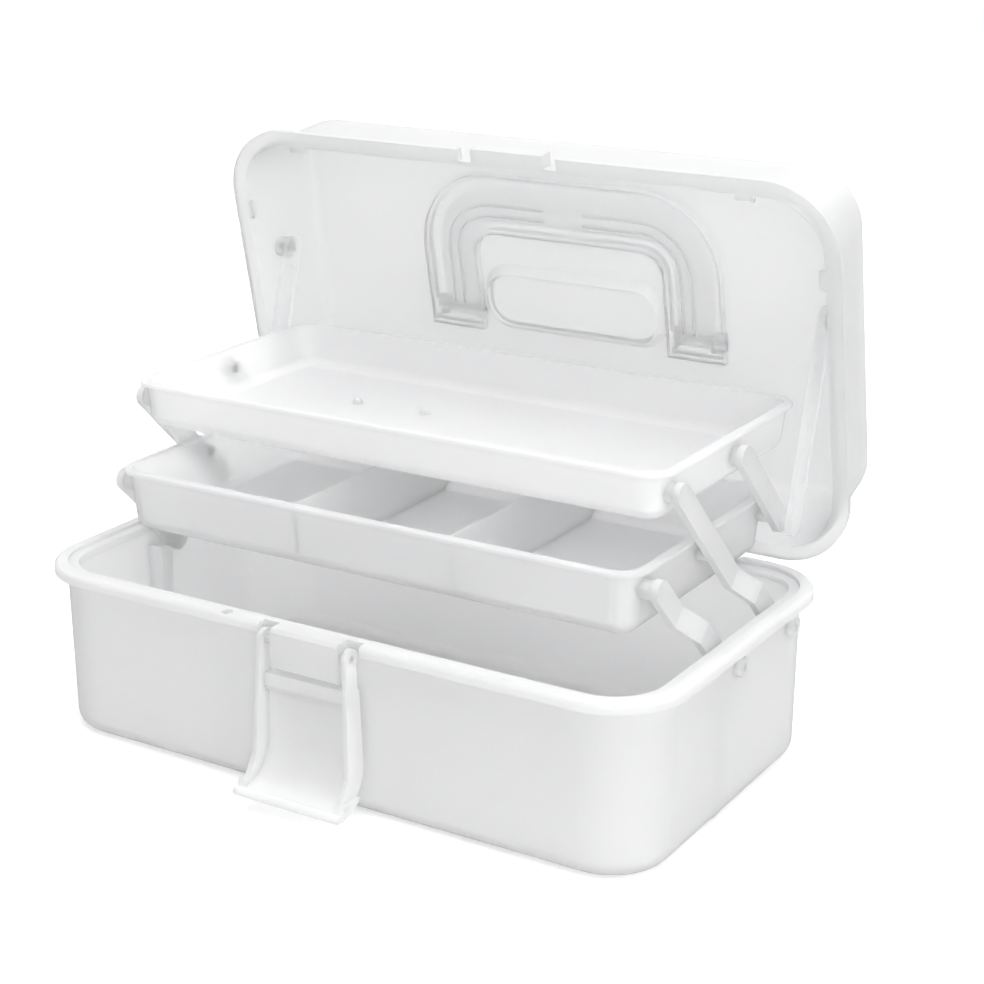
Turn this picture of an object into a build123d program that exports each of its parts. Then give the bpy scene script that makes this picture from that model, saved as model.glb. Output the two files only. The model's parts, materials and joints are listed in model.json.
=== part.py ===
"""Three-tier storage box: a deep tub, two trays on cantilever arms and a hinged lid with a folding handle.

The box stands open. Its bottom rests on the plane z = 0 with the origin at the bottom's centre,
x runs along the box to the right, the latch is at the front (-y) and the lid's hinge at the back (+y).
"""

import os
from math import cos, hypot, radians, sin, tan

from build123d import *

os.makedirs("parts", exist_ok=True)

# Base tub: a drafted wall under an overhanging rolled rim with a lower ledge inside it
RIM_LENGTH = 330
RIM_WIDTH = 188
RIM_CORNER = 35
RIM_TOP = 83
RIM_SKIRT = 5
RIM_OVERHANG = 6
RIM_ROUND = 2.4
RIM_SKIN = 2.2
ROLL_WIDTH = 6.5
LEDGE_WIDTH = 5
LEDGE_STEP = 1.6
LEDGE_THICK = 3
BASE_DRAFT = 0.7
FOOT_ROUND = 8
WALL = 2.4
FLOOR = 2.6
INNER_ROUND = 5.5
RIM_HOLE_OUT = 22.5
RIM_HOLE_RADIUS = 2.3

# Pins and running fits shared by every pivot
PIN_RADIUS = 2
PIN_FIT = 0.06
PIN_SEAT = 5
PIN_SKIN = 0.9
SEAT_SKIN = 1.2
FACE_GAP = 0.3
SWING_GAP = 0.6

# Cantilever arms, seen from the right end: one shared angle keeps both trays level
ARM_OPEN = 45.5
ARM_CLOSED = 24.7
FRONT_ARM = 63.6
UPPER_ARM = 51.8
ARM_TAIL = 6.25
ARM_WIDTH = 10.5
ARM_THICK = 3.5
BOSS_RADIUS = 4.4
BASE_PIVOT_Y = 0.5
BASE_PIVOT_DROP = 13.5
BASE_PIVOT_SPACING = 53.7
ARM_RIM_GAP = 1.2
JOG_START = 28
JOG_END = 40
WALL_BOSS_RADIUS = 4.6
WALL_BOSS_OUT = 3.3
DIMPLE_RADIUS = 1.8
DIMPLE_DEPTH = 1.6
STOP_FRONT = 15.5
STOP_WIDTH = 8
STOP_REACH = 8.5

# Trays
END_ROOM = 12.5
UPPER_DEEP = 22.6
UPPER_RIM_OVER_PIVOT = 10.7
UPPER_SETBACK = 13.6
LOWER_SHORT = 2.5
LOWER_DEEP = 30.3
LOWER_RIM_OVER_PIVOT = 9.5
LOWER_SETBACK = 13.9
LOWER_REAR_SETBACK = 10
TRAY_WIDTH = 138.6
TRAY_CORNER = 13.5
TRAY_LIP = 2.4
TRAY_LIP_THICK = 2
TRAY_WALL = 1.8
TRAY_DRAFT = 6
TRAY_ROUND = 7
LEFT_CELL = 102.5
RIGHT_CELL = 91.5
BOSS_REACH = 2.2

# Lid, opened on two rear hinges
LID_OPEN = 78.7
LID_OVERLAP = 1
LID_SEAT_GAP = 0.5
LID_HEIGHT = 51.5
LID_FLANGE = 5.6
LID_FLANGE_THICK = 3.5
LID_WALL = 2
LID_DRAFT = 4.5
LID_ROUND = 7
HINGE_BACK = 4
HINGE_DROP = 8
HINGE_FROM_END = 70
KNUCKLE_RADIUS = 3.6
LID_KNUCKLE = 22
BASE_KNUCKLE = 10
HINGE_PIN_RADIUS = 1.5
KNUCKLE_FLAT = 3
TAB_FROM_END = 44
TAB_END_Y = -51
TAB_LENGTH = 9
TAB_REACH = 3
TAB_THICK = 2.2
STRAP_PIVOT_Y = -121.7
STRAP_PIVOT_Z = 27.9
LID_BOSS_RADIUS = 5

# Lid strap with a slot for the rear arm's pin
STRAP_WIDTH = 12
STRAP_THICK = 3
STRAP_ROOM = 3.5
STRAP_BOSS_RADIUS = 3.7
STRAP_END = 5.5
STRAP_GROOVE = 0.7
STRAP_RAIL = 2
SLOT_SIDE_GAP = 1.05
SLOT_TRAVEL = 9.1
SLOT_END_GAP = 0.4

# Folding handle in its channel on the lid
CHANNEL_SETBACK = 27.4
CHANNEL_LENGTH = 81
CHANNEL_OUTER = 164
CHANNEL_BAND = 27
CHANNEL_DEPTH = 4.2
CHANNEL_CORNER = 40
ISLAND_CORNER = 14
CHANNEL_LINES = (13.5, 19)
LINE_WIDTH = 1.3
LINE_DEPTH = 0.8
LINE_BREAK = 22
LINE_END = 12
DISH_SIDE = 5
DISH_WIDTH = 32
DISH_FROM_END = 17
DISH_CORNER = 14
DISH_DEPTH = 4.5
DISH_SLOPE = 40
HANDLE_BAND = 18
HANDLE_INSET = 6
HANDLE_THICK = 9
HANDLE_ROUND = 3
HANDLE_LIFT = 0.5
HANDLE_EYE_BACK = 7.5

# Latch, hanging open on a block below the front rim
LATCH_WIDTH = 47
LATCH_FLARE = 2.8
LATCH_FLANGE = 2.3
LATCH_SKIN = 2.2
LATCH_PIVOT_OUT = 7.2
LATCH_DROP = 6
LATCH_PIN_RADIUS = 1.6
LATCH_EYE = 4.6
LATCH_BACK = 4.1
LATCH_TURN = 62
LATCH_CURVE = 18
LATCH_LENGTH = 67.5
LATCH_LIP_OUT = 16.8
LATCH_LIP_THICK = 4.4
LATCH_LIP_SIDE = 2.2
LATCH_LIP_CORNER = 2.5
LATCH_SHOULDER = 5
LATCH_DEEPEN = 3
LATCH_BAR_TOP = 15
LATCH_BAR_HIGH = 9
LATCH_BAR_FOOT = 2.6
LATCH_BAR_OUT = 2.2
LATCH_BAR_STEP = 1.5
BLOCK_DEPTH = 9.8
BLOCK_HIGH = 18
BLOCK_BEVEL = 1.6
BLOCK_SIDE_GAP = 3.2
NOTCH_GAP = 3
NOTCH_BACK_GAP = 1
CATCH_GAP = 1.6
CATCH_HIGH = 7.5
CATCH_REACH = 6.5

# Base outlines
WALL_LENGTH = RIM_LENGTH - 2 * RIM_OVERHANG
WALL_WIDTH = RIM_WIDTH - 2 * RIM_OVERHANG
WALL_CORNER = RIM_CORNER - RIM_OVERHANG
WALL_TOP = RIM_TOP - RIM_SKIRT
WALL_LEAN = WALL_TOP * tan(radians(BASE_DRAFT))
LEDGE_TOP = RIM_TOP - LEDGE_STEP
LEDGE_UNDER = LEDGE_TOP - LEDGE_THICK
OPENING_INSET = ROLL_WIDTH + LEDGE_WIDTH
OPENING_X = RIM_LENGTH / 2 - OPENING_INSET

# Layers across the right end, from the trays outwards
UPPER_LENGTH = 2 * OPENING_X - 2 * END_ROOM
LOWER_LENGTH = UPPER_LENGTH - 2 * LOWER_SHORT
ARM_IN = UPPER_LENGTH / 2 - TRAY_LIP + BOSS_REACH
ARM_IN_TOP = ARM_IN + ARM_THICK
STRAP_IN = ARM_IN_TOP + STRAP_ROOM
STRAP_OUT = STRAP_IN + STRAP_THICK
ARM_OUT_TOP = OPENING_X - ARM_RIM_GAP
ARM_OUT = ARM_OUT_TOP - ARM_THICK
JOG = ARM_OUT - ARM_IN
EYE_RADIUS = ARM_WIDTH / 2
PIN_HOLE = PIN_RADIUS + PIN_FIT
PIN_DEPTH = ARM_THICK - PIN_SKIN
PIN_REACH = PIN_DEPTH - FACE_GAP

# Pivots in the (y, z) plane
ARM_Y = -cos(radians(ARM_OPEN))
ARM_Z = sin(radians(ARM_OPEN))
LONG_ARM = FRONT_ARM + UPPER_ARM
BASE_PIVOT_Z = RIM_TOP - BASE_PIVOT_DROP
TRAY_PIVOT_SPACING = TRAY_WIDTH - LOWER_SETBACK - LOWER_REAR_SETBACK - BASE_PIVOT_SPACING
REAR_PIVOT_Y = BASE_PIVOT_Y + BASE_PIVOT_SPACING
BASE_FRONT = (BASE_PIVOT_Y, BASE_PIVOT_Z)
BASE_REAR = (REAR_PIVOT_Y, BASE_PIVOT_Z)
LOWER_PIVOT_Z = BASE_PIVOT_Z + FRONT_ARM * ARM_Z
UPPER_PIVOT_Z = BASE_PIVOT_Z + LONG_ARM * ARM_Z
LOWER_FRONT = (BASE_PIVOT_Y + FRONT_ARM * ARM_Y, LOWER_PIVOT_Z)
LOWER_MID = (REAR_PIVOT_Y + FRONT_ARM * ARM_Y, LOWER_PIVOT_Z)
LOWER_REAR = (LOWER_MID[0] + TRAY_PIVOT_SPACING, LOWER_PIVOT_Z)
UPPER_FRONT = (REAR_PIVOT_Y + LONG_ARM * ARM_Y, UPPER_PIVOT_Z)
UPPER_REAR = (UPPER_FRONT[0] + TRAY_PIVOT_SPACING, UPPER_PIVOT_Z)
STRAP_LOW = (LOWER_REAR[0] - ARM_TAIL * ARM_Y, LOWER_PIVOT_Z - ARM_TAIL * ARM_Z)
UPPER_RIM = UPPER_PIVOT_Z + UPPER_RIM_OVER_PIVOT
LOWER_RIM = LOWER_PIVOT_Z + LOWER_RIM_OVER_PIVOT
UPPER_Y = UPPER_FRONT[0] - UPPER_SETBACK + TRAY_WIDTH / 2
LOWER_Y = LOWER_FRONT[0] - LOWER_SETBACK + TRAY_WIDTH / 2

# The lid's own frame: its origin is on the hinge axis and turns with the lid
HINGE_Y = RIM_WIDTH / 2 + HINGE_BACK
HINGE_Z = RIM_TOP - HINGE_DROP
HINGE_X = RIM_LENGTH / 2 - HINGE_FROM_END
TAB_X = RIM_LENGTH / 2 - TAB_FROM_END
LID_UP = (0, sin(radians(LID_OPEN)), cos(radians(LID_OPEN)))
LID_BACK = (0, cos(radians(LID_OPEN)), -sin(radians(LID_OPEN)))
lid_plane = Plane(origin=(0, HINGE_Y, HINGE_Z), x_dir=(1, 0, 0), z_dir=LID_UP)
lid_side = Plane(origin=(0, HINGE_Y, HINGE_Z), x_dir=LID_BACK, z_dir=(1, 0, 0))
lid_axis = Axis((0, HINGE_Y, HINGE_Z), LID_UP)
LID_SEAT = HINGE_DROP + LID_SEAT_GAP
LID_TOP = LID_SEAT + LID_HEIGHT
LID_LENGTH = RIM_LENGTH + 2 * LID_OVERLAP
LID_WIDTH = RIM_WIDTH + 2 * LID_OVERLAP
LID_CORNER = RIM_CORNER + LID_OVERLAP
LID_WALL_LENGTH = LID_LENGTH - 2 * LID_FLANGE
LID_WALL_WIDTH = LID_WIDTH - 2 * LID_FLANGE
LID_WALL_CORNER = LID_CORNER - LID_FLANGE
LID_MID_Y = -HINGE_Y
LID_FRONT_Y = LID_MID_Y - LID_WALL_WIDTH / 2
LID_LEAN = (STRAP_PIVOT_Z - LID_SEAT) * tan(radians(LID_DRAFT))
LID_INNER_X = LID_WALL_LENGTH / 2 - LID_LEAN - LID_WALL
STRAP_TOP = (
    HINGE_Y + STRAP_PIVOT_Y * LID_BACK[1] + STRAP_PIVOT_Z * LID_UP[1],
    HINGE_Z + STRAP_PIVOT_Y * LID_BACK[2] + STRAP_PIVOT_Z * LID_UP[2],
)

# Base tub: walls, rim, ledge, arm pivots, arm stops, hinge knuckles and latch block
LATCH_Y = -WALL_WIDTH / 2 - LATCH_PIVOT_OUT
LATCH_PIVOT_Z = RIM_TOP - LATCH_DROP
LATCH_HOLE = LATCH_PIN_RADIUS + PIN_FIT
BLOCK_WIDTH = LATCH_WIDTH - 2 * LATCH_FLANGE - 2 * BLOCK_SIDE_GAP
BLOCK_FRONT = -WALL_WIDTH / 2 - BLOCK_DEPTH
NOTCH_OUT = LATCH_WIDTH / 2 + NOTCH_GAP
NOTCH_BACK = LATCH_Y + LATCH_EYE + NOTCH_BACK_GAP
RIM_HOLE_X = -LATCH_WIDTH / 2 - RIM_HOLE_OUT
STOP_FALL = tan(radians(ARM_CLOSED))
STOP_DROP = ARM_WIDTH / 2 / cos(radians(ARM_CLOSED)) + SWING_GAP
STOP_Y = BASE_PIVOT_Y - STOP_FRONT
STOP_TOP = BASE_PIVOT_Z + STOP_FRONT * STOP_FALL - STOP_DROP

with BuildPart() as base_tub:
    with BuildSketch():
        RectangleRounded(WALL_LENGTH - 2 * WALL_LEAN, WALL_WIDTH - 2 * WALL_LEAN, WALL_CORNER - WALL_LEAN)
    extrude(amount=WALL_TOP, taper=-BASE_DRAFT)
    fillet(base_tub.faces().sort_by(Axis.Z)[0].edges(), FOOT_ROUND)
    with BuildSketch(Plane.XY.offset(WALL_TOP)):
        RectangleRounded(RIM_LENGTH, RIM_WIDTH, RIM_CORNER)
    extrude(amount=RIM_SKIRT)
    fillet(base_tub.faces().sort_by(Axis.Z)[-1].edges(), RIM_ROUND)
    # The skirt is hollow underneath
    with BuildSketch(Plane.XY.offset(WALL_TOP)):
        RectangleRounded(RIM_LENGTH - 2 * RIM_SKIN, RIM_WIDTH - 2 * RIM_SKIN, RIM_CORNER - RIM_SKIN)
        RectangleRounded(WALL_LENGTH, WALL_WIDTH, WALL_CORNER, mode=Mode.SUBTRACT)
    extrude(amount=RIM_SKIRT - RIM_SKIN, mode=Mode.SUBTRACT)
    # Compartment, opening and ledge
    with BuildSketch(Plane.XY.offset(FLOOR)):
        RectangleRounded(
            WALL_LENGTH - 2 * WALL_LEAN - 2 * WALL,
            WALL_WIDTH - 2 * WALL_LEAN - 2 * WALL,
            WALL_CORNER - WALL_LEAN - WALL,
        )
    extrude(amount=LEDGE_UNDER - FLOOR, taper=-BASE_DRAFT, mode=Mode.SUBTRACT)
    inner_floor = base_tub.faces().filter_by(Axis.Z).filter_by_position(Axis.Z, FLOOR / 2, FLOOR * 2)
    fillet(inner_floor.edges(), INNER_ROUND)
    with BuildSketch(Plane.XY.offset(LEDGE_UNDER)):
        RectangleRounded(
            RIM_LENGTH - 2 * OPENING_INSET,
            RIM_WIDTH - 2 * OPENING_INSET,
            RIM_CORNER - OPENING_INSET,
        )
    extrude(amount=RIM_TOP - LEDGE_UNDER, mode=Mode.SUBTRACT)
    with BuildSketch(Plane.XY.offset(LEDGE_TOP)):
        RectangleRounded(RIM_LENGTH - 2 * ROLL_WIDTH, RIM_WIDTH - 2 * ROLL_WIDTH, RIM_CORNER - ROLL_WIDTH)
    extrude(amount=LEDGE_STEP, mode=Mode.SUBTRACT)
    # Two slots for the latch's ears and one small hole beside them
    with BuildSketch(Plane.XY.offset(WALL_TOP)):
        for side in (1, -1):
            with Locations((side * (BLOCK_WIDTH / 2 + NOTCH_OUT) / 2, NOTCH_BACK - RIM_OVERHANG)):
                Rectangle(NOTCH_OUT - BLOCK_WIDTH / 2, 2 * RIM_OVERHANG)
        with Locations((RIM_HOLE_X, -(RIM_WIDTH - ROLL_WIDTH) / 2)):
            Circle(RIM_HOLE_RADIUS)
    extrude(amount=RIM_SKIRT, mode=Mode.SUBTRACT)
    # Latch block under the rim with its pin hole
    with BuildSketch(Plane.YZ.offset(-BLOCK_WIDTH / 2)):
        with BuildLine():
            Polyline(
                (-WALL_WIDTH / 2 + WALL / 2, RIM_TOP - BLOCK_HIGH),
                (BLOCK_FRONT, RIM_TOP - BLOCK_HIGH),
                (BLOCK_FRONT, RIM_TOP - BLOCK_BEVEL),
                (BLOCK_FRONT + BLOCK_BEVEL, RIM_TOP),
                (-WALL_WIDTH / 2 + WALL / 2, RIM_TOP),
                close=True,
            )
        make_face()
    extrude(amount=BLOCK_WIDTH)
    with BuildSketch(Plane.YZ.offset(-BLOCK_WIDTH / 2)):
        with Locations((LATCH_Y, LATCH_PIVOT_Z)):
            Circle(LATCH_HOLE)
    extrude(amount=BLOCK_WIDTH, mode=Mode.SUBTRACT)
    # Arm pivots on both end walls, and a stop that each front arm comes down on
    for side in (1, -1):
        with BuildSketch(Plane.YZ.offset(side * (ARM_OUT_TOP + FACE_GAP))):
            with Locations(BASE_FRONT, BASE_REAR):
                Circle(WALL_BOSS_RADIUS)
        extrude(amount=side * (WALL_LENGTH / 2 + WALL_BOSS_OUT - ARM_OUT_TOP - FACE_GAP))
        with BuildSketch(Plane.YZ.offset(side * (ARM_OUT_TOP + FACE_GAP))):
            with Locations(BASE_FRONT, BASE_REAR):
                Circle(PIN_HOLE)
        extrude(amount=side * PIN_SEAT, mode=Mode.SUBTRACT)
        with BuildSketch(Plane.YZ.offset(side * (WALL_LENGTH / 2 + WALL_BOSS_OUT))):
            with Locations(BASE_FRONT, BASE_REAR):
                Circle(DIMPLE_RADIUS)
        extrude(amount=-side * DIMPLE_DEPTH, mode=Mode.SUBTRACT)
        with BuildSketch(Plane.YZ.offset(side * (WALL_LENGTH / 2 - WALL))):
            with BuildLine():
                Polyline(
                    (STOP_Y, FLOOR),
                    (STOP_Y + STOP_WIDTH, FLOOR),
                    (STOP_Y + STOP_WIDTH, STOP_TOP - STOP_WIDTH * STOP_FALL),
                    (STOP_Y, STOP_TOP),
                    close=True,
                )
            make_face()
        extrude(amount=-side * STOP_REACH)
    # Hinge knuckles behind the rim
    for hinge in (-HINGE_X, HINGE_X):
        for side in (1, -1):
            inner = hinge + side * (LID_KNUCKLE / 2 + FACE_GAP)
            with BuildSketch(Plane.YZ.offset(inner)):
                with Locations((HINGE_Y, HINGE_Z)):
                    Circle(KNUCKLE_RADIUS)
                with Locations(((HINGE_Y + WALL_WIDTH / 2) / 2, HINGE_Z)):
                    Rectangle(HINGE_Y - WALL_WIDTH / 2, 2 * KNUCKLE_RADIUS)
            extrude(amount=side * BASE_KNUCKLE)
            with BuildSketch(Plane.YZ.offset(inner)):
                with Locations((HINGE_Y, HINGE_Z)):
                    Circle(HINGE_PIN_RADIUS + PIN_FIT)
            extrude(amount=side * BASE_KNUCKLE, mode=Mode.SUBTRACT)
base_tub.part.label = "base_tub"
export_step(base_tub.part, "parts/base_tub.step")

# Upper tray: one open compartment
LOWER_END_X = LOWER_LENGTH / 2 - TRAY_LIP - LOWER_RIM_OVER_PIVOT * tan(radians(TRAY_DRAFT))
UPPER_END_X = UPPER_LENGTH / 2 - TRAY_LIP - UPPER_RIM_OVER_PIVOT * tan(radians(TRAY_DRAFT))
LOWER_SEAT_X = LOWER_END_X - TRAY_WALL + SEAT_SKIN
UPPER_SEAT_X = UPPER_END_X - TRAY_WALL + SEAT_SKIN
BODY_WIDTH = TRAY_WIDTH - 2 * TRAY_LIP
BODY_CORNER = TRAY_CORNER - TRAY_LIP
BOSS_FACE = ARM_IN - FACE_GAP

with BuildPart() as upper_hollow:
    with BuildSketch(Plane.XY.offset(UPPER_RIM)):
        with Locations((0, UPPER_Y)):
            RectangleRounded(
                UPPER_LENGTH - 2 * TRAY_LIP - 2 * TRAY_WALL,
                BODY_WIDTH - 2 * TRAY_WALL,
                BODY_CORNER - TRAY_WALL,
            )
    extrude(amount=TRAY_WALL - UPPER_DEEP, taper=TRAY_DRAFT)
    fillet(upper_hollow.faces().sort_by(Axis.Z)[0].edges(), TRAY_ROUND - TRAY_WALL)

with BuildPart() as upper_tray:
    with BuildSketch(Plane.XY.offset(UPPER_RIM)):
        with Locations((0, UPPER_Y)):
            RectangleRounded(UPPER_LENGTH - 2 * TRAY_LIP, BODY_WIDTH, BODY_CORNER)
    extrude(amount=-UPPER_DEEP, taper=TRAY_DRAFT)
    fillet(upper_tray.faces().sort_by(Axis.Z)[0].edges(), TRAY_ROUND)
    with BuildSketch(Plane.XY.offset(UPPER_RIM)):
        with Locations((0, UPPER_Y)):
            RectangleRounded(UPPER_LENGTH, TRAY_WIDTH, TRAY_CORNER)
    extrude(amount=-TRAY_LIP_THICK)
    fillet(upper_tray.faces().sort_by(Axis.Z)[-1].edges(), TRAY_LIP_THICK / 2)
    for side in (1, -1):
        with BuildSketch(Plane.YZ.offset(side * (UPPER_END_X - BOSS_RADIUS))):
            with Locations(UPPER_FRONT, UPPER_REAR):
                Circle(BOSS_RADIUS)
        extrude(amount=side * (BOSS_FACE - UPPER_END_X + BOSS_RADIUS))
        with BuildSketch(Plane.YZ.offset(side * UPPER_SEAT_X)):
            with Locations(UPPER_FRONT, UPPER_REAR):
                Circle(PIN_HOLE)
        extrude(amount=side * (BOSS_FACE - UPPER_SEAT_X), mode=Mode.SUBTRACT)
    add(upper_hollow.part, mode=Mode.SUBTRACT)
upper_tray.part.label = "upper_tray"
export_step(upper_tray.part, "parts/upper_tray.step")

# Lower tray: two cross walls make three compartments
DIVIDER_X = (LEFT_CELL - LOWER_LENGTH / 2, LOWER_LENGTH / 2 - RIGHT_CELL)
DIVIDER_TOP_Y = BODY_WIDTH / 2 - TRAY_WALL / 2
DIVIDER_LEAN = (LOWER_DEEP - TRAY_ROUND) * tan(radians(TRAY_DRAFT))
DIVIDER_FOOT_Y = BODY_WIDTH / 2 - LOWER_DEEP * tan(radians(TRAY_DRAFT)) - TRAY_ROUND

with BuildPart() as lower_hollow:
    with BuildSketch(Plane.XY.offset(LOWER_RIM)):
        with Locations((0, LOWER_Y)):
            RectangleRounded(
                LOWER_LENGTH - 2 * TRAY_LIP - 2 * TRAY_WALL,
                BODY_WIDTH - 2 * TRAY_WALL,
                BODY_CORNER - TRAY_WALL,
            )
    extrude(amount=TRAY_WALL - LOWER_DEEP, taper=TRAY_DRAFT)
    fillet(lower_hollow.faces().sort_by(Axis.Z)[0].edges(), TRAY_ROUND - TRAY_WALL)

with BuildPart() as lower_tray:
    with BuildSketch(Plane.XY.offset(LOWER_RIM)):
        with Locations((0, LOWER_Y)):
            RectangleRounded(LOWER_LENGTH - 2 * TRAY_LIP, BODY_WIDTH, BODY_CORNER)
    extrude(amount=-LOWER_DEEP, taper=TRAY_DRAFT)
    fillet(lower_tray.faces().sort_by(Axis.Z)[0].edges(), TRAY_ROUND)
    with BuildSketch(Plane.XY.offset(LOWER_RIM)):
        with Locations((0, LOWER_Y)):
            RectangleRounded(LOWER_LENGTH, TRAY_WIDTH, TRAY_CORNER)
    extrude(amount=-TRAY_LIP_THICK)
    fillet(lower_tray.faces().sort_by(Axis.Z)[-1].edges(), TRAY_LIP_THICK / 2)
    for side in (1, -1):
        with BuildSketch(Plane.YZ.offset(side * (LOWER_END_X - BOSS_RADIUS))):
            with Locations(LOWER_FRONT, LOWER_MID, LOWER_REAR):
                Circle(BOSS_RADIUS)
        extrude(amount=side * (BOSS_FACE - LOWER_END_X + BOSS_RADIUS))
        with BuildSketch(Plane.YZ.offset(side * LOWER_SEAT_X)):
            with Locations(LOWER_FRONT, LOWER_MID, LOWER_REAR):
                Circle(PIN_HOLE)
        extrude(amount=side * (BOSS_FACE - LOWER_SEAT_X), mode=Mode.SUBTRACT)
    add(lower_hollow.part, mode=Mode.SUBTRACT)
    for divider in DIVIDER_X:
        with BuildSketch(Plane.YZ.offset(divider - TRAY_WALL / 2)):
            with BuildLine():
                Polyline(
                    (LOWER_Y - DIVIDER_TOP_Y, LOWER_RIM),
                    (LOWER_Y + DIVIDER_TOP_Y, LOWER_RIM),
                    (LOWER_Y + DIVIDER_TOP_Y - DIVIDER_LEAN, LOWER_RIM - LOWER_DEEP + TRAY_ROUND),
                    (LOWER_Y + DIVIDER_FOOT_Y, LOWER_RIM - LOWER_DEEP + TRAY_WALL / 2),
                    (LOWER_Y - DIVIDER_FOOT_Y, LOWER_RIM - LOWER_DEEP + TRAY_WALL / 2),
                    (LOWER_Y - DIVIDER_TOP_Y + DIVIDER_LEAN, LOWER_RIM - LOWER_DEEP + TRAY_ROUND),
                    close=True,
                )
            make_face()
        extrude(amount=TRAY_WALL)
lower_tray.part.label = "lower_tray"
export_step(lower_tray.part, "parts/lower_tray.step")

# Arms: flat bars that step outwards on their way down, so that they clear the trays and meet the end walls
ARM_ALONG = (0, ARM_Y, ARM_Z)
ARM_ACROSS = (0, ARM_Z, -ARM_Y)
front_plane = Plane(origin=(0, *BASE_FRONT), x_dir=ARM_ALONG, z_dir=ARM_ACROSS)
rear_plane = Plane(origin=(0, *BASE_REAR), x_dir=ARM_ALONG, z_dir=ARM_ACROSS)
tail_plane = Plane(origin=(0, *STRAP_LOW), x_dir=ARM_ALONG, z_dir=ARM_ACROSS)
JOG_SHIFT = ARM_THICK * (hypot(JOG_END - JOG_START, JOG) - JOG_END + JOG_START) / JOG
STRAP_BOSS = STRAP_IN - FACE_GAP - ARM_IN_TOP

with BuildPart() as front_arm_r:
    with BuildSketch(front_plane):
        with BuildLine():
            Polyline(
                (0, ARM_OUT),
                (JOG_START, ARM_OUT),
                (JOG_END, ARM_IN),
                (FRONT_ARM, ARM_IN),
                (FRONT_ARM, ARM_IN_TOP),
                (JOG_END + JOG_SHIFT, ARM_IN_TOP),
                (JOG_START + JOG_SHIFT, ARM_OUT_TOP),
                (0, ARM_OUT_TOP),
                close=True,
            )
        make_face()
    extrude(amount=ARM_WIDTH / 2, both=True)
    with BuildSketch(Plane.YZ.offset(ARM_OUT)):
        with Locations(BASE_FRONT):
            Circle(EYE_RADIUS)
    extrude(amount=ARM_THICK)
    with BuildSketch(Plane.YZ.offset(ARM_IN)):
        with Locations(LOWER_FRONT):
            Circle(EYE_RADIUS)
    extrude(amount=ARM_THICK)
    with BuildSketch(Plane.YZ.offset(ARM_OUT_TOP)):
        with Locations(BASE_FRONT):
            Circle(PIN_HOLE)
    extrude(amount=-PIN_DEPTH, mode=Mode.SUBTRACT)
    with BuildSketch(Plane.YZ.offset(ARM_IN)):
        with Locations(LOWER_FRONT):
            Circle(PIN_HOLE)
    extrude(amount=PIN_DEPTH, mode=Mode.SUBTRACT)
front_arm_r.part.label = "front_arm_r"
export_step(front_arm_r.part, "parts/front_arm_r.step")

with BuildPart() as front_arm_l:
    mirror(front_arm_r.part, about=Plane.YZ)
front_arm_l.part.label = "front_arm_l"
export_step(front_arm_l.part, "parts/front_arm_l.step")

with BuildPart() as long_arm_r:
    with BuildSketch(rear_plane):
        with BuildLine():
            Polyline(
                (0, ARM_OUT),
                (JOG_START, ARM_OUT),
                (JOG_END, ARM_IN),
                (LONG_ARM, ARM_IN),
                (LONG_ARM, ARM_IN_TOP),
                (JOG_END + JOG_SHIFT, ARM_IN_TOP),
                (JOG_START + JOG_SHIFT, ARM_OUT_TOP),
                (0, ARM_OUT_TOP),
                close=True,
            )
        make_face()
    extrude(amount=ARM_WIDTH / 2, both=True)
    with BuildSketch(Plane.YZ.offset(ARM_OUT)):
        with Locations(BASE_REAR):
            Circle(EYE_RADIUS)
    extrude(amount=ARM_THICK)
    with BuildSketch(Plane.YZ.offset(ARM_IN)):
        with Locations(LOWER_MID, UPPER_FRONT):
            Circle(EYE_RADIUS)
    extrude(amount=ARM_THICK)
    with BuildSketch(Plane.YZ.offset(ARM_OUT_TOP)):
        with Locations(BASE_REAR):
            Circle(PIN_HOLE)
    extrude(amount=-PIN_DEPTH, mode=Mode.SUBTRACT)
    with BuildSketch(Plane.YZ.offset(ARM_IN)):
        with Locations(LOWER_MID, UPPER_FRONT):
            Circle(PIN_HOLE)
    extrude(amount=PIN_DEPTH, mode=Mode.SUBTRACT)
long_arm_r.part.label = "long_arm_r"
export_step(long_arm_r.part, "parts/long_arm_r.step")

with BuildPart() as long_arm_l:
    mirror(long_arm_r.part, about=Plane.YZ)
long_arm_l.part.label = "long_arm_l"
export_step(long_arm_l.part, "parts/long_arm_l.step")

with BuildPart() as rear_arm_r:
    with BuildSketch(tail_plane):
        with Locations(((UPPER_ARM + ARM_TAIL) / 2, ARM_IN + ARM_THICK / 2)):
            Rectangle(UPPER_ARM + ARM_TAIL, ARM_THICK)
    extrude(amount=ARM_WIDTH / 2, both=True)
    with BuildSketch(Plane.YZ.offset(ARM_IN)):
        with Locations(STRAP_LOW, LOWER_REAR, UPPER_REAR):
            Circle(EYE_RADIUS)
    extrude(amount=ARM_THICK)
    with BuildSketch(Plane.YZ.offset(ARM_IN_TOP)):
        with Locations(STRAP_LOW):
            Circle(STRAP_BOSS_RADIUS)
    extrude(amount=STRAP_BOSS)
    with BuildSketch(Plane.YZ.offset(ARM_IN)):
        with Locations(LOWER_REAR, UPPER_REAR):
            Circle(PIN_HOLE)
    extrude(amount=PIN_DEPTH, mode=Mode.SUBTRACT)
    with BuildSketch(Plane.YZ.offset(ARM_IN + PIN_SKIN)):
        with Locations(STRAP_LOW):
            Circle(PIN_HOLE)
    extrude(amount=PIN_DEPTH + STRAP_BOSS, mode=Mode.SUBTRACT)
rear_arm_r.part.label = "rear_arm_r"
export_step(rear_arm_r.part, "parts/rear_arm_r.step")

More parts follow.
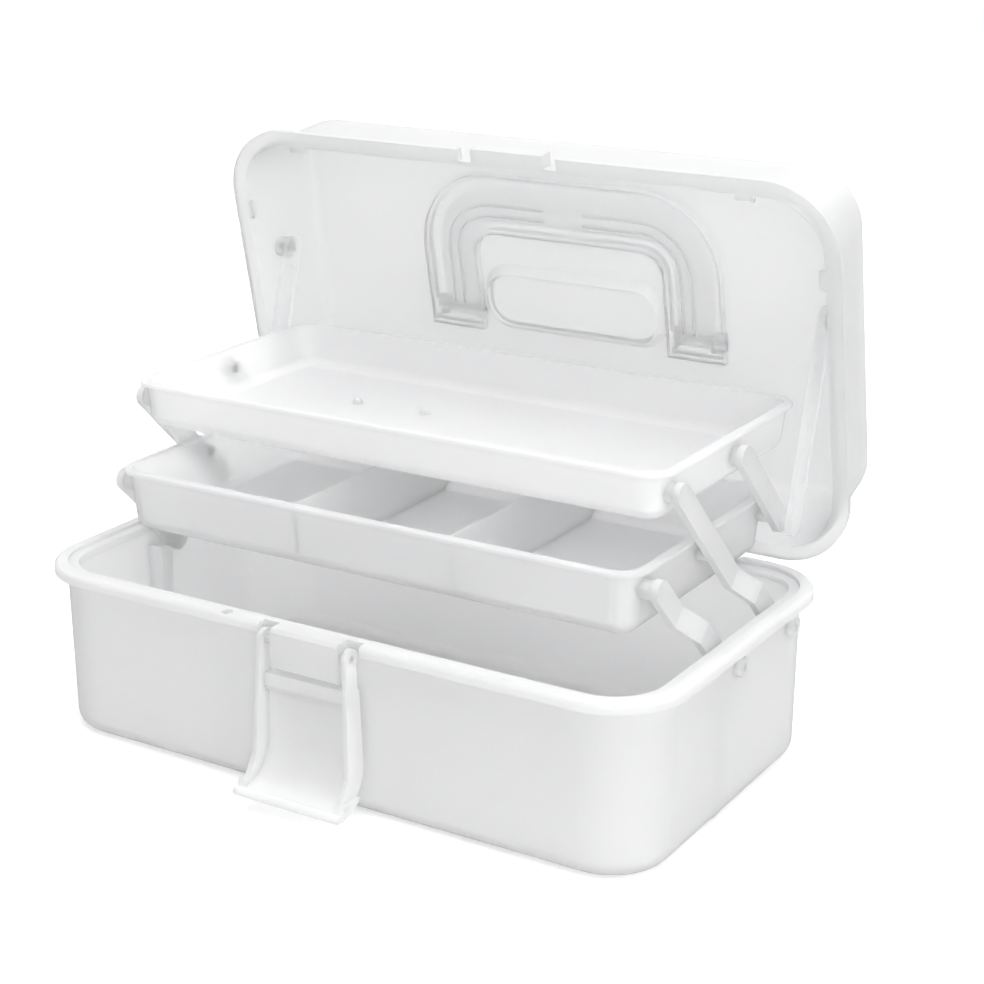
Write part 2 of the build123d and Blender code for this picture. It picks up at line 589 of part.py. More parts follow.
with BuildPart() as rear_arm_l:
    mirror(rear_arm_r.part, about=Plane.YZ)
rear_arm_l.part.label = "rear_arm_l"
export_step(rear_arm_l.part, "parts/rear_arm_l.step")

# Lid straps: a grooved bar from the lid's end wall down to a blind slot round the rear arm's pin
STRAP_RUN = hypot(STRAP_LOW[0] - STRAP_TOP[0], STRAP_LOW[1] - STRAP_TOP[1])
STRAP_Y = (STRAP_LOW[0] - STRAP_TOP[0]) / STRAP_RUN
STRAP_Z = (STRAP_LOW[1] - STRAP_TOP[1]) / STRAP_RUN
strap_plane = Plane(origin=(STRAP_IN, *STRAP_TOP), x_dir=(0, STRAP_Y, STRAP_Z), z_dir=(1, 0, 0))
SLOT_FAR = STRAP_RUN + SLOT_END_GAP
SLOT_NEAR = SLOT_FAR - SLOT_TRAVEL
SLOT_WIDTH = 2 * (PIN_RADIUS + SLOT_SIDE_GAP)
STRAP_SPAN = SLOT_FAR + STRAP_END - STRAP_WIDTH / 2
GROOVE_FROM = STRAP_WIDTH
GROOVE_TO = SLOT_NEAR - STRAP_WIDTH
GROOVE_WIDTH = STRAP_WIDTH - 2 * STRAP_RAIL

with BuildPart() as lid_strap_r:
    with BuildSketch(strap_plane):
        with Locations((STRAP_SPAN / 2, 0)):
            SlotCenterToCenter(STRAP_SPAN, STRAP_WIDTH)
    extrude(amount=STRAP_THICK)
    with BuildSketch(strap_plane.offset(PIN_SKIN)):
        Circle(PIN_HOLE)
    extrude(amount=STRAP_THICK - PIN_SKIN, mode=Mode.SUBTRACT)
    with BuildSketch(strap_plane):
        with Locations(((SLOT_NEAR + SLOT_FAR) / 2, 0)):
            SlotCenterToCenter(SLOT_TRAVEL, SLOT_WIDTH)
    extrude(amount=STRAP_THICK - PIN_SKIN, mode=Mode.SUBTRACT)
    with BuildSketch(strap_plane, strap_plane.offset(STRAP_THICK - STRAP_GROOVE)):
        with Locations(((GROOVE_FROM + GROOVE_TO) / 2, 0)):
            SlotCenterToCenter(GROOVE_TO - GROOVE_FROM, GROOVE_WIDTH)
    extrude(amount=STRAP_GROOVE, mode=Mode.SUBTRACT)
lid_strap_r.part.label = "lid_strap_r"
export_step(lid_strap_r.part, "parts/lid_strap_r.step")

with BuildPart() as lid_strap_l:
    mirror(lid_strap_r.part, about=Plane.YZ)
lid_strap_l.part.label = "lid_strap_l"
export_step(lid_strap_l.part, "parts/lid_strap_l.step")

# Lid: a tapered translucent shell with a rim flange, a sunk channel for the handle and two knuckles
CHANNEL_FRONT = LID_FRONT_Y + CHANNEL_SETBACK
CHANNEL_MID_Y = CHANNEL_FRONT + CHANNEL_LENGTH / 2
ISLAND_WIDTH = CHANNEL_OUTER - 2 * CHANNEL_BAND
ISLAND_MID_Y = CHANNEL_FRONT + CHANNEL_BAND + CHANNEL_LENGTH / 2
HANDLE_AXIS_Y = CHANNEL_FRONT + CHANNEL_LENGTH - HANDLE_EYE_BACK
HANDLE_AXIS_Z = LID_TOP - CHANNEL_DEPTH + HANDLE_LIFT + HANDLE_THICK / 2
HANDLE_OUTER = CHANNEL_OUTER - 2 * HANDLE_INSET
HANDLE_LEG_IN = HANDLE_OUTER / 2 - HANDLE_BAND
HANDLE_LUG_IN = HANDLE_LEG_IN - FACE_GAP
HANDLE_LUG_OUT = HANDLE_OUTER / 2 + FACE_GAP
CHANNEL_END_Y = CHANNEL_FRONT + CHANNEL_LENGTH
CHANNEL_FLOOR = LID_TOP - CHANNEL_DEPTH - LID_WALL
DISH_LENGTH = ISLAND_WIDTH - 2 * DISH_SIDE
DISH_Y = CHANNEL_END_Y - DISH_FROM_END
CATCH_WIDTH = LATCH_WIDTH - 2 * LATCH_FLANGE - 2 * CATCH_GAP

with BuildPart() as lid_shell:
    with BuildSketch(lid_plane.offset(LID_SEAT)):
        with Locations((0, LID_MID_Y)):
            RectangleRounded(LID_WALL_LENGTH, LID_WALL_WIDTH, LID_WALL_CORNER)
    extrude(amount=LID_HEIGHT, taper=LID_DRAFT)
    fillet(lid_shell.faces().sort_by(lid_axis)[-1].edges(), LID_ROUND)
    with BuildSketch(lid_plane.offset(LID_SEAT)):
        with Locations((0, LID_MID_Y)):
            RectangleRounded(LID_LENGTH, LID_WIDTH, LID_CORNER)
    extrude(amount=LID_FLANGE_THICK)
    # The flange has two slots for the latch's sides
    with BuildSketch(lid_plane.offset(LID_SEAT)):
        for side in (1, -1):
            with Locations((side * (CATCH_WIDTH / 2 + NOTCH_OUT) / 2, LID_FRONT_Y - LID_FLANGE)):
                Rectangle(NOTCH_OUT - CATCH_WIDTH / 2, 2 * LID_FLANGE)
    extrude(amount=LID_FLANGE_THICK, mode=Mode.SUBTRACT)
    with BuildSketch(lid_plane.offset(LID_SEAT)):
        with Locations((0, LID_MID_Y)):
            RectangleRounded(
                LID_WALL_LENGTH - 2 * LID_WALL,
                LID_WALL_WIDTH - 2 * LID_WALL,
                LID_WALL_CORNER - LID_WALL,
            )
    extrude(amount=LID_HEIGHT - LID_WALL, taper=LID_DRAFT, mode=Mode.SUBTRACT)
    ceiling = lid_shell.faces().filter_by(lid_axis).sort_by(lid_axis)[-2]
    fillet(ceiling.edges(), LID_ROUND - LID_WALL)
    # Finger dish between the handle's legs
    with BuildSketch(lid_plane.offset(LID_TOP - LID_WALL)):
        with Locations((0, DISH_Y)):
            RectangleRounded(DISH_LENGTH + 2 * LID_WALL, DISH_WIDTH + 2 * LID_WALL, DISH_CORNER + LID_WALL)
    extrude(amount=-DISH_DEPTH, taper=DISH_SLOPE)
    with BuildSketch(lid_plane.offset(LID_TOP)):
        with Locations((0, DISH_Y)):
            RectangleRounded(DISH_LENGTH, DISH_WIDTH, DISH_CORNER)
    extrude(amount=-DISH_DEPTH, taper=DISH_SLOPE, mode=Mode.SUBTRACT)
    # Handle channel: its underside stands into the lid, its pocket opens upwards
    with BuildSketch(lid_plane.offset(CHANNEL_FLOOR)) as channel_under:
        with Locations((0, CHANNEL_MID_Y)):
            Rectangle(CHANNEL_OUTER + 2 * LID_WALL, CHANNEL_LENGTH + 2 * LID_WALL)
        fillet(channel_under.vertices().group_by(Axis.Y)[0], CHANNEL_CORNER + LID_WALL)
        with Locations((0, ISLAND_MID_Y + 2 * LID_WALL)):
            RectangleRounded(
                ISLAND_WIDTH - 2 * LID_WALL,
                CHANNEL_LENGTH + 2 * LID_WALL,
                ISLAND_CORNER - LID_WALL,
                mode=Mode.SUBTRACT,
            )
    extrude(amount=CHANNEL_DEPTH)
    with BuildSketch(lid_plane.offset(LID_TOP - CHANNEL_DEPTH)) as channel_pocket:
        with Locations((0, CHANNEL_MID_Y)):
            Rectangle(CHANNEL_OUTER, CHANNEL_LENGTH)
        fillet(channel_pocket.vertices().group_by(Axis.Y)[0], CHANNEL_CORNER)
        with Locations((0, ISLAND_MID_Y)):
            RectangleRounded(ISLAND_WIDTH, CHANNEL_LENGTH, ISLAND_CORNER, mode=Mode.SUBTRACT)
    extrude(amount=CHANNEL_DEPTH, mode=Mode.SUBTRACT)
    # Two fine lines follow the channel's underside and break off at the grip's middle
    with BuildSketch(lid_plane.offset(CHANNEL_FLOOR)):
        for inset in CHANNEL_LINES:
            with BuildLine():
                FilletPolyline(
                    (inset - CHANNEL_OUTER / 2, CHANNEL_END_Y - LINE_END),
                    (inset - CHANNEL_OUTER / 2, CHANNEL_FRONT + inset),
                    (CHANNEL_OUTER / 2 - inset, CHANNEL_FRONT + inset),
                    (CHANNEL_OUTER / 2 - inset, CHANNEL_END_Y - LINE_END),
                    radius=CHANNEL_CORNER - inset,
                )
            trace(line_width=LINE_WIDTH)
        with Locations((0, CHANNEL_MID_Y)):
            Rectangle(LINE_BREAK, CHANNEL_LENGTH, mode=Mode.SUBTRACT)
    extrude(amount=LINE_DEPTH, mode=Mode.SUBTRACT)
    # Lugs that hold the handle's pins, strap bosses on the end walls
    for side in (1, -1):
        for lug_from, lug_to in ((ISLAND_WIDTH / 2, HANDLE_LUG_IN), (HANDLE_LUG_OUT, CHANNEL_OUTER / 2)):
            with BuildSketch(lid_side.offset(side * lug_from)):
                with Locations((HANDLE_AXIS_Y, HANDLE_AXIS_Z)):
                    Circle(HANDLE_THICK / 2)
                with Locations((HANDLE_AXIS_Y, HANDLE_AXIS_Z - HANDLE_THICK / 4 - HANDLE_LIFT / 2)):
                    Rectangle(HANDLE_THICK, HANDLE_THICK / 2 + HANDLE_LIFT)
            extrude(amount=side * (lug_to - lug_from))
            with BuildSketch(lid_side.offset(side * lug_from)):
                with Locations((HANDLE_AXIS_Y, HANDLE_AXIS_Z)):
                    Circle(PIN_HOLE)
            extrude(amount=side * (lug_to - lug_from), mode=Mode.SUBTRACT)
        with BuildSketch(lid_side.offset(side * (STRAP_OUT + FACE_GAP))):
            with Locations((STRAP_PIVOT_Y, STRAP_PIVOT_Z)):
                Circle(LID_BOSS_RADIUS)
        extrude(amount=side * (LID_INNER_X + LID_WALL / 2 - STRAP_OUT - FACE_GAP))
        with BuildSketch(lid_side.offset(side * (STRAP_OUT + FACE_GAP))):
            with Locations((STRAP_PIVOT_Y, STRAP_PIVOT_Z)):
                Circle(PIN_HOLE)
        extrude(amount=side * PIN_SEAT, mode=Mode.SUBTRACT)
        # Small snap tabs along the rim
        with BuildSketch(lid_plane.offset(LID_SEAT)):
            with Locations((side * TAB_X, LID_FRONT_Y + (LID_WALL + TAB_REACH) / 2)):
                Rectangle(TAB_LENGTH, LID_WALL + TAB_REACH)
            with Locations((side * (LID_WALL_LENGTH - LID_WALL - TAB_REACH) / 2, LID_MID_Y + TAB_END_Y)):
                Rectangle(LID_WALL + TAB_REACH, TAB_LENGTH)
        extrude(amount=TAB_THICK)
    # Catch for the latch's bar
    with BuildSketch(lid_plane.offset(LID_SEAT)):
        with Locations((0, LID_FRONT_Y + (LID_WALL - CATCH_REACH) / 2)):
            Rectangle(CATCH_WIDTH, CATCH_REACH + LID_WALL)
    extrude(amount=CATCH_HIGH)
    # Knuckles behind the rear flange
    for hinge in (-HINGE_X, HINGE_X):
        with BuildSketch(lid_side.offset(hinge - LID_KNUCKLE / 2)):
            Circle(KNUCKLE_RADIUS)
            with Locations(((KNUCKLE_RADIUS - KNUCKLE_FLAT) / 2, (LID_SEAT + LID_FLANGE_THICK) / 2)):
                Rectangle(KNUCKLE_RADIUS + KNUCKLE_FLAT, LID_SEAT + LID_FLANGE_THICK)
            with Locations((-HINGE_BACK / 2, LID_SEAT + LID_FLANGE_THICK / 2)):
                Rectangle(2 * HINGE_BACK, LID_FLANGE_THICK)
            Circle(HINGE_PIN_RADIUS + PIN_FIT, mode=Mode.SUBTRACT)
        extrude(amount=LID_KNUCKLE)
lid_shell.part.label = "lid_shell"
export_step(lid_shell.part, "parts/lid_shell.step")

# Handle: a rounded bar bent to a U, with an eye at each leg's end
with BuildPart() as handle:
    with BuildSketch(lid_plane.offset(HANDLE_AXIS_Z - HANDLE_THICK / 2)) as handle_face:
        with Locations((0, (CHANNEL_FRONT + HANDLE_INSET + HANDLE_AXIS_Y) / 2)):
            Rectangle(HANDLE_OUTER, HANDLE_AXIS_Y - CHANNEL_FRONT - HANDLE_INSET)
        fillet(handle_face.vertices().group_by(Axis.Y)[0], CHANNEL_CORNER - HANDLE_INSET)
        with Locations((0, HANDLE_AXIS_Y)):
            RectangleRounded(
                2 * HANDLE_LEG_IN,
                2 * (HANDLE_AXIS_Y - CHANNEL_FRONT - HANDLE_INSET - HANDLE_BAND),
                CHANNEL_CORNER - HANDLE_INSET - HANDLE_BAND,
                mode=Mode.SUBTRACT,
            )
    extrude(amount=HANDLE_THICK)
    handle_flats = handle.faces().filter_by(lid_axis)
    leg_ends = handle.faces().filter_by(Axis((0, 0, 0), LID_BACK)).sort_by(Axis((0, 0, 0), LID_BACK))[-2:]
    bar_edges = [edge for edge in handle_flats.edges() if edge not in leg_ends.edges()]
    fillet(bar_edges, HANDLE_ROUND)
    for side in (1, -1):
        with BuildSketch(lid_side.offset(side * HANDLE_LEG_IN)):
            with Locations((HANDLE_AXIS_Y, HANDLE_AXIS_Z)):
                Circle(HANDLE_THICK / 2)
        extrude(amount=side * HANDLE_BAND)
        with BuildSketch(lid_side.offset(side * HANDLE_LEG_IN)):
            with Locations((HANDLE_AXIS_Y, HANDLE_AXIS_Z)):
                Circle(PIN_HOLE)
        extrude(amount=side * HANDLE_BAND, mode=Mode.SUBTRACT)
handle.part.label = "handle"
export_step(handle.part, "parts/handle.step")

for name, side in (("handle_pin_r", 1), ("handle_pin_l", -1)):
    with BuildPart() as handle_pin:
        with BuildSketch(lid_side.offset(side * ISLAND_WIDTH / 2)):
            with Locations((HANDLE_AXIS_Y, HANDLE_AXIS_Z)):
                Circle(PIN_RADIUS)
        extrude(amount=side * CHANNEL_BAND)
    handle_pin.part.label = name
    export_step(handle_pin.part, f"parts/{name}.step")

# Hinge pins
for name, hinge in (("hinge_pin_r", HINGE_X), ("hinge_pin_l", -HINGE_X)):
    with BuildPart() as hinge_pin:
        with BuildSketch(Plane.YZ.offset(hinge - LID_KNUCKLE / 2 - FACE_GAP - BASE_KNUCKLE)):
            with Locations((HINGE_Y, HINGE_Z)):
                Circle(HINGE_PIN_RADIUS)
        extrude(amount=LID_KNUCKLE + 2 * FACE_GAP + 2 * BASE_KNUCKLE)
    hinge_pin.part.label = name
    export_step(hinge_pin.part, f"parts/{name}.step")

# Latch: a flared channel with two ears, a stepped hook bar and a lip that curves forward
LATCH_PLATE_Y = LATCH_Y + LATCH_BACK - LATCH_SKIN / 2
LATCH_FRONT_Y = LATCH_Y - LATCH_EYE
LATCH_TOP_Z = LATCH_PIVOT_Z + LATCH_EYE
LATCH_TURN_Z = LATCH_PIVOT_Z - LATCH_TURN
LATCH_LIP_Y = LATCH_Y - LATCH_LIP_OUT
LATCH_LIP_Z = LATCH_PIVOT_Z - LATCH_LENGTH
LATCH_FOOT_WIDTH = LATCH_WIDTH + 2 * LATCH_FLARE
LATCH_LIP_WIDTH = LATCH_FOOT_WIDTH + 2 * LATCH_LIP_SIDE
LATCH_SHOULDER_Z = LATCH_LIP_Z + LATCH_SHOULDER
BAR_TOP_Z = LATCH_PIVOT_Z - LATCH_BAR_TOP
BAR_LOW_Z = BAR_TOP_Z - LATCH_BAR_HIGH
BAR_FRONT_Y = LATCH_Y - LATCH_BAR_OUT

with BuildPart() as latch:
    # Sides: an eye above, growing deeper downwards and following the back's curve into the lip
    with BuildSketch(Plane.YZ.offset(-LATCH_LIP_WIDTH / 2)):
        with BuildLine():
            FilletPolyline(
                (LATCH_PLATE_Y, LATCH_PIVOT_Z),
                (LATCH_PLATE_Y, LATCH_TURN_Z),
                (LATCH_LIP_Y, LATCH_LIP_Z),
                radius=LATCH_CURVE,
            )
            Polyline(
                (LATCH_LIP_Y, LATCH_LIP_Z),
                (LATCH_FRONT_Y - LATCH_DEEPEN, LATCH_TURN_Z + LATCH_CURVE / 2),
                (LATCH_FRONT_Y, LATCH_PIVOT_Z),
                (LATCH_PLATE_Y, LATCH_PIVOT_Z),
            )
        make_face()
        with Locations((LATCH_Y, LATCH_PIVOT_Z)):
            Circle(LATCH_EYE)
    extrude(amount=LATCH_LIP_WIDTH)
    with BuildSketch(Plane.XZ):
        with BuildLine():
            Polyline(
                (-LATCH_WIDTH / 2 + LATCH_FLANGE, LATCH_TOP_Z),
                (LATCH_WIDTH / 2 - LATCH_FLANGE, LATCH_TOP_Z),
                (LATCH_FOOT_WIDTH / 2 - LATCH_FLANGE, LATCH_TURN_Z),
                (LATCH_FOOT_WIDTH / 2 - LATCH_FLANGE, 0),
                (-LATCH_FOOT_WIDTH / 2 + LATCH_FLANGE, 0),
                (-LATCH_FOOT_WIDTH / 2 + LATCH_FLANGE, LATCH_TURN_Z),
                close=True,
            )
        make_face()
    extrude(amount=RIM_WIDTH, both=True, mode=Mode.SUBTRACT)
    # Back plate with the lip's rolled edge, and the hook bar across it
    with BuildSketch(Plane.YZ.offset(-LATCH_LIP_WIDTH / 2)):
        with BuildLine():
            FilletPolyline(
                (LATCH_PLATE_Y, BAR_TOP_Z),
                (LATCH_PLATE_Y, LATCH_TURN_Z),
                (LATCH_LIP_Y, LATCH_LIP_Z),
                radius=LATCH_CURVE,
            )
        trace(line_width=LATCH_SKIN)
        with Locations((LATCH_LIP_Y, LATCH_LIP_Z)):
            Circle(LATCH_LIP_THICK / 2)
        with BuildLine():
            Polyline(
                (LATCH_Y + LATCH_BACK, BAR_TOP_Z),
                (BAR_FRONT_Y, BAR_TOP_Z),
                (BAR_FRONT_Y, BAR_LOW_Z + LATCH_BAR_FOOT),
                (BAR_FRONT_Y + LATCH_BAR_STEP, BAR_LOW_Z + LATCH_BAR_FOOT),
                (BAR_FRONT_Y + LATCH_BAR_STEP, BAR_LOW_Z),
                (LATCH_Y + LATCH_BACK, BAR_LOW_Z),
                close=True,
            )
        make_face()
    extrude(amount=LATCH_LIP_WIDTH)
    # Outline from the front: sides that flare to shoulders above a wider lip
    with BuildSketch(Plane.XZ) as latch_outline:
        with BuildLine():
            Polyline(
                (-LATCH_WIDTH / 2, LATCH_TOP_Z),
                (LATCH_WIDTH / 2, LATCH_TOP_Z),
                (LATCH_FOOT_WIDTH / 2, LATCH_SHOULDER_Z),
                (LATCH_LIP_WIDTH / 2, LATCH_SHOULDER_Z),
                (LATCH_LIP_WIDTH / 2, LATCH_LIP_Z - LATCH_LIP_THICK / 2),
                (-LATCH_LIP_WIDTH / 2, LATCH_LIP_Z - LATCH_LIP_THICK / 2),
                (-LATCH_LIP_WIDTH / 2, LATCH_SHOULDER_Z),
                (-LATCH_FOOT_WIDTH / 2, LATCH_SHOULDER_Z),
                close=True,
            )
        make_face()
        fillet(latch_outline.vertices().group_by(Axis.Y)[0], LATCH_LIP_CORNER)
    extrude(amount=RIM_WIDTH, both=True, mode=Mode.INTERSECT)
    with BuildSketch(Plane.YZ.offset(-LATCH_WIDTH / 2)):
        with Locations((LATCH_Y, LATCH_PIVOT_Z)):
            Circle(LATCH_HOLE)
    extrude(amount=LATCH_WIDTH, mode=Mode.SUBTRACT)
latch.part.label = "latch"
export_step(latch.part, "parts/latch.step")

with BuildPart() as latch_pin:
    with BuildSketch(Plane.YZ.offset(-LATCH_WIDTH / 2)):
        with Locations((LATCH_Y, LATCH_PIVOT_Z)):
            Circle(LATCH_PIN_RADIUS)
    extrude(amount=LATCH_WIDTH)
latch_pin.part.label = "latch_pin"
export_step(latch_pin.part, "parts/latch_pin.step")

# Pivot pins: name, place, the end fixed in its seat and the end that an arm or a strap turns on
WALL_SEAT_X = ARM_OUT_TOP + FACE_GAP + PIN_SEAT
STRAP_SEAT_X = STRAP_OUT + FACE_GAP + PIN_SEAT
STRAP_REACH = STRAP_THICK - PIN_SKIN - FACE_GAP
pivot_pins = (
    ("pin_base_front", BASE_FRONT, WALL_SEAT_X, ARM_OUT_TOP - PIN_REACH),
    ("pin_base_rear", BASE_REAR, WALL_SEAT_X, ARM_OUT_TOP - PIN_REACH),
    ("pin_lower_front", LOWER_FRONT, LOWER_SEAT_X, ARM_IN + PIN_REACH),
    ("pin_lower_mid", LOWER_MID, LOWER_SEAT_X, ARM_IN + PIN_REACH),
    ("pin_lower_rear", LOWER_REAR, LOWER_SEAT_X, ARM_IN + PIN_REACH),
    ("pin_upper_front", UPPER_FRONT, UPPER_SEAT_X, ARM_IN + PIN_REACH),
    ("pin_upper_rear", UPPER_REAR, UPPER_SEAT_X, ARM_IN + PIN_REACH),
    ("pin_strap_low", STRAP_LOW, ARM_IN + PIN_SKIN, STRAP_IN + STRAP_REACH),
    ("pin_strap_top", STRAP_TOP, STRAP_SEAT_X, STRAP_OUT - STRAP_REACH),
)
for name, place, seat_end, free_end in pivot_pins:
    with BuildPart() as pin_r:
        with BuildSketch(Plane.YZ.offset(seat_end)):
            with Locations(place):
                Circle(PIN_RADIUS)
        extrude(amount=free_end - seat_end)
    pin_r.part.label = f"{name}_r"
    export_step(pin_r.part, f"parts/{name}_r.step")
    with BuildPart() as pin_l:
        mirror(pin_r.part, about=Plane.YZ)
    pin_l.part.label = f"{name}_l"
    export_step(pin_l.part, f"parts/{name}_l.step")
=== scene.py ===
# %% [markdown]
# # A three-tier storage box in white plastic
# The box stands open: a deep tub, two trays on cantilever arms and a frosted lid that leans back on its hinge.
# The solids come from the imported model. Here they get their moulded finish, their small details and their light.

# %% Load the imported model
import json
import math

import bpy
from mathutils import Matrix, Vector


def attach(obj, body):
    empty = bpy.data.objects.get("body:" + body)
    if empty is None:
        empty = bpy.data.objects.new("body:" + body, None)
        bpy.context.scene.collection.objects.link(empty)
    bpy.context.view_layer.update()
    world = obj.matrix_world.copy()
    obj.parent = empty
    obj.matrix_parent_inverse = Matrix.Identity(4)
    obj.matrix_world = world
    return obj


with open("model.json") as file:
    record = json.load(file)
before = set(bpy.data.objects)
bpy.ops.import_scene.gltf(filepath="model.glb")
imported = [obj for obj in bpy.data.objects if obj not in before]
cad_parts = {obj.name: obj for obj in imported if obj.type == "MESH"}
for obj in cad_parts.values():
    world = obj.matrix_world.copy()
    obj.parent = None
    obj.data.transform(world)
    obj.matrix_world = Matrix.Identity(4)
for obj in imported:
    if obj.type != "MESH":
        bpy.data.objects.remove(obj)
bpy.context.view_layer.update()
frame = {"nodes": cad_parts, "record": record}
nodes = frame["nodes"]
print("solids loaded:", len(nodes))

# %% [markdown]
# ## The camera
# The picture was taken from the front right, a little above the box, with a longish lens that keeps the long edges
# nearly parallel. The camera is placed by an azimuth, an elevation and a distance round one point of the box, because
# these three are easier to read and to change than a position and three turns.

# %% Place the camera
PICTURE_WIDTH = 984
FOCAL_PIXELS = 2124.77
SENSOR_WIDTH = 36.0
AIM = Vector((0.03493, 0.0, 0.12669))
AZIMUTH = math.radians(31.58)
ELEVATION = math.radians(18.5)
DISTANCE = 0.95633

camera_data = bpy.data.cameras.new("camera")
camera_data.sensor_width = SENSOR_WIDTH
camera_data.lens = FOCAL_PIXELS / PICTURE_WIDTH * SENSOR_WIDTH
camera = bpy.data.objects.new("camera", camera_data)
bpy.context.scene.collection.objects.link(camera)
away = Vector((
    math.sin(AZIMUTH) * math.cos(ELEVATION),
    -math.cos(AZIMUTH) * math.cos(ELEVATION),
    math.sin(ELEVATION),
))
camera.location = AIM + away * DISTANCE
camera.rotation_euler = away.to_track_quat("Z", "Y").to_euler()
bpy.context.scene.camera = camera
print("lens in millimetres:", round(camera_data.lens, 2))

# %% [markdown]
# ## The studio
# White plastic on white needs soft light from nearly everywhere. The largest soft box hangs above, so that the trays'
# floors come out lightest. The one beside the camera looks into the box past the trays, as the camera does, and keeps
# the gaps from going black. The one behind lights the back of the lid, which then shines through. The sky gives the
# even rest. The white behind the box is a separate shade of the same sky, chosen with Light Path for the rays that
# show it: those from the camera, those mirrored in a gloss and those that have passed through milky plastic.

# %% Join nodes with arithmetic
def calc(tree, operation, *terms):
    """Adds a Math node and puts out its result; each term is a number or a socket."""
    node = tree.nodes.new("ShaderNodeMath")
    node.operation = operation
    for place, term in enumerate(terms):
        if isinstance(term, (int, float)):
            node.inputs[place].default_value = term
        else:
            tree.links.new(term, node.inputs[place])
    return node.outputs[0]


def seen_rays(tree):
    """Adds Light Path and puts out 1 for rays that show the background: camera, mirror and see-through rays."""
    path = tree.nodes.new("ShaderNodeLightPath")
    total = path.outputs["Is Camera Ray"]
    for kind in ("Is Glossy Ray", "Is Transmission Ray"):
        total = calc(tree, "MAXIMUM", total, path.outputs[kind])
    return total


print("arithmetic helpers:", calc.__name__, seen_rays.__name__)

# %% Light the sky
scene = bpy.context.scene
scene.view_settings.view_transform = "Standard"
SKY_STRENGTH = 0.14

world = bpy.data.worlds.new("studio_sky")
scene.world = world
world.use_nodes = True
sky = world.node_tree
sky.nodes.clear()
sky_light = sky.nodes.new("ShaderNodeBackground")
sky_light.inputs["Color"].default_value = (1, 1, 1, 1)
sky_light.inputs["Strength"].default_value = SKY_STRENGTH
sky_seen = sky.nodes.new("ShaderNodeBackground")
sky_seen.inputs["Color"].default_value = (1, 1, 1, 1)
sky_choice = sky.nodes.new("ShaderNodeMixShader")
sky_out = sky.nodes.new("ShaderNodeOutputWorld")
sky.links.new(seen_rays(sky), sky_choice.inputs["Fac"])
sky.links.new(sky_light.outputs[0], sky_choice.inputs[1])
sky.links.new(sky_seen.outputs[0], sky_choice.inputs[2])
sky.links.new(sky_choice.outputs[0], sky_out.inputs["Surface"])
print("sky strength:", SKY_STRENGTH)

# %% Hang the soft boxes
SOFT_BOXES = (
    # name, place, aim, width in metres, watts
    ("soft_box_top", (0.1, -0.1, 1.6), (0.0, 0.0, 0.1), 1.6, 24.0),
    ("soft_box_right", (1.5, -0.5, 0.9), (0.0, 0.0, 0.1), 1.0, 7.0),
    ("soft_box_camera", (0.97, -1.55, 0.62), (0.0, 0.0, 0.1), 1.0, 7.5),
    ("soft_box_rear", (0.3, 1.5, 1.3), (0.0, 0.1, 0.2), 1.0, 7.5),
)
for name, place, aim, width, watts in SOFT_BOXES:
    lamp_data = bpy.data.lights.new(name, "AREA")
    lamp_data.shape = "SQUARE"
    lamp_data.size = width
    lamp_data.energy = watts
    lamp = bpy.data.objects.new(name, lamp_data)
    scene.collection.objects.link(lamp)
    lamp.location = place
    lamp.rotation_euler = (Vector(place) - Vector(aim)).to_track_quat("Z", "Y").to_euler()
print("soft boxes:", len(SOFT_BOXES))

# %% [markdown]
# ## The floor
# The box stands on a white sheet with only a thin soft shadow under it. The sheet is an ordinary pale surface that
# catches the shadow, plus a glow that lights nothing and only lifts the sheet to the white of the background. The
# lamps hang over the box, so the sheet gets darker away from it, and the glow grows there to make up for that.

# %% Cut the floor
FLOOR_HALF = 3.0
FLOOR_DROP = 0.0003

floor_mesh = bpy.data.meshes.new("floor")
floor_mesh.from_pydata(
    [(x * FLOOR_HALF, y * FLOOR_HALF, -FLOOR_DROP) for x, y in ((-1, -1), (1, -1), (1, 1), (-1, 1))],
    [],
    [(0, 1, 2, 3)],
)
floor = bpy.data.objects.new("floor", floor_mesh)
scene.collection.objects.link(floor)
print("floor side in metres:", 2 * FLOOR_HALF)

# %% Paint the floor
PAPER = (0.86, 0.86, 0.86)
GLOW_NEAR = 0.3
GLOW_FAR = 1.0
GLOW_REACH = 0.9

floor_paint = bpy.data.materials.new("floor_paper")
floor_paint.use_nodes = True
tree = floor_paint.node_tree
tree.nodes.clear()
paper = tree.nodes.new("ShaderNodeBsdfDiffuse")
paper.inputs["Color"].default_value = (*PAPER, 1)
glow = tree.nodes.new("ShaderNodeEmission")
round_spot = tree.nodes.new("ShaderNodeTexGradient")
round_spot.gradient_type = "SPHERICAL"
floor_place = tree.nodes.new("ShaderNodeTexCoord")
spot_size = tree.nodes.new("ShaderNodeVectorMath")
spot_size.operation = "SCALE"
spot_size.inputs["Scale"].default_value = 1 / GLOW_REACH
glow_range = tree.nodes.new("ShaderNodeMapRange")
glow_range.inputs["To Min"].default_value = GLOW_FAR
glow_range.inputs["To Max"].default_value = GLOW_NEAR
tree.links.new(floor_place.outputs["Object"], spot_size.inputs[0])
tree.links.new(spot_size.outputs[0], round_spot.inputs["Vector"])
tree.links.new(round_spot.outputs["Fac"], glow_range.inputs["Value"])
tree.links.new(glow_range.outputs["Result"], glow.inputs["Strength"])
dark = tree.nodes.new("ShaderNodeEmission")
dark.inputs["Strength"].default_value = 0.0
glow_choice = tree.nodes.new("ShaderNodeMixShader")
both = tree.nodes.new("ShaderNodeAddShader")
floor_out = tree.nodes.new("ShaderNodeOutputMaterial")
tree.links.new(seen_rays(tree), glow_choice.inputs["Fac"])
tree.links.new(dark.outputs[0], glow_choice.inputs[1])
